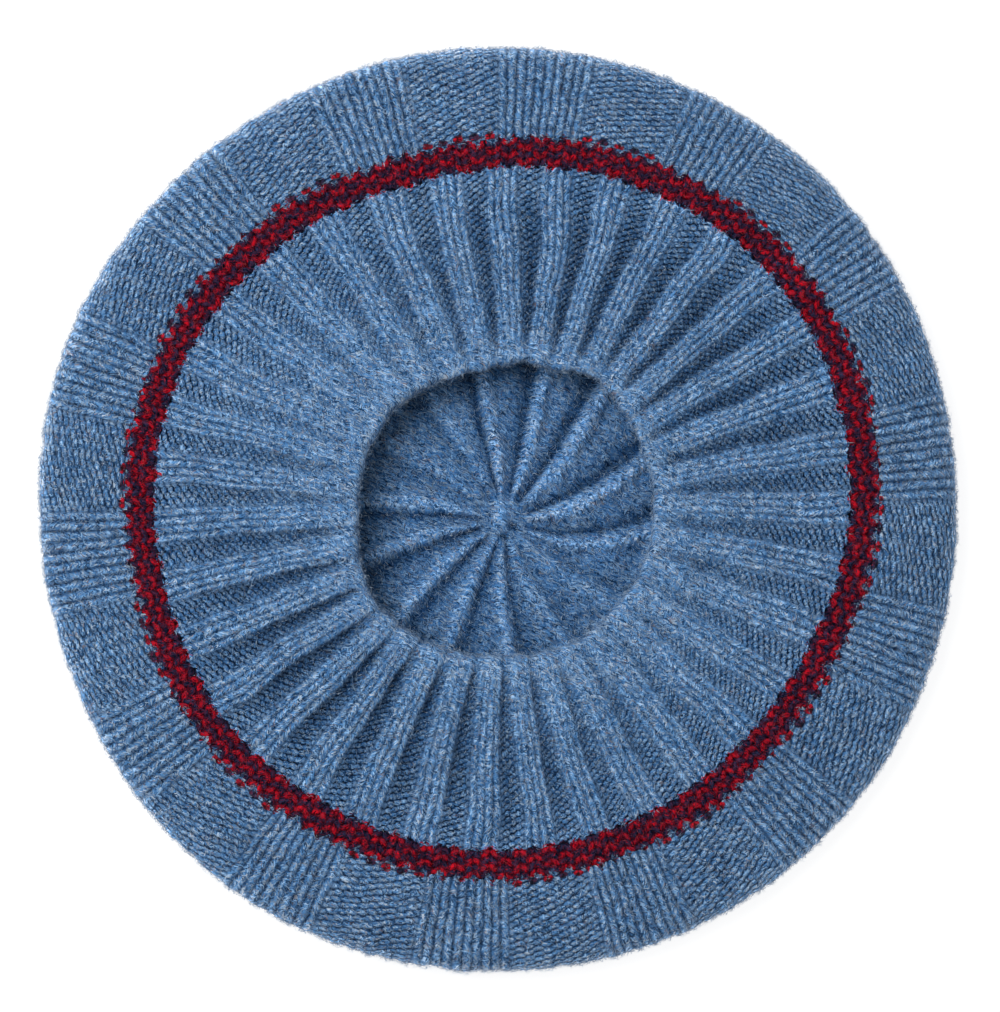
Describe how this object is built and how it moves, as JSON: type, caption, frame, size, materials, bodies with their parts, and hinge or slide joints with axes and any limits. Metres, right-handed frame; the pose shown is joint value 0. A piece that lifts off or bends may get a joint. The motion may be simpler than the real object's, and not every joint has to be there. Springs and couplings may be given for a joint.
{
  "type": "ribbed knitted beret",
  "caption": "Knitted beret lying on its crown, opening up, with knit and purl side panels, a narrow checker stripe and a gathered ribbed band round the soft opening.",
  "frame": {"origin": "under the middle of the outline, on the surface that the beret lies on with its crown down", "axes": "+Z up through the opening; +X to the right and +Y up as the picture shows it from straight above"},
  "size_m": [0.2802, 0.2824, 0.0222],
  "materials": {
    "blue_wool": "heathered mid-blue lambswool, matt, brushed to a soft fuzz",
    "stripe_wool": "red and navy lambswool knitted in a fine checker, matt and fuzzy"
  },
  "bodies": {
    "root": {"crown": "blue_wool", "lower_fold": "blue_wool", "side_panels": "blue_wool", "stripe": "stripe_wool", "ribbed_band": "blue_wool"}
  },
  "joints": []
}
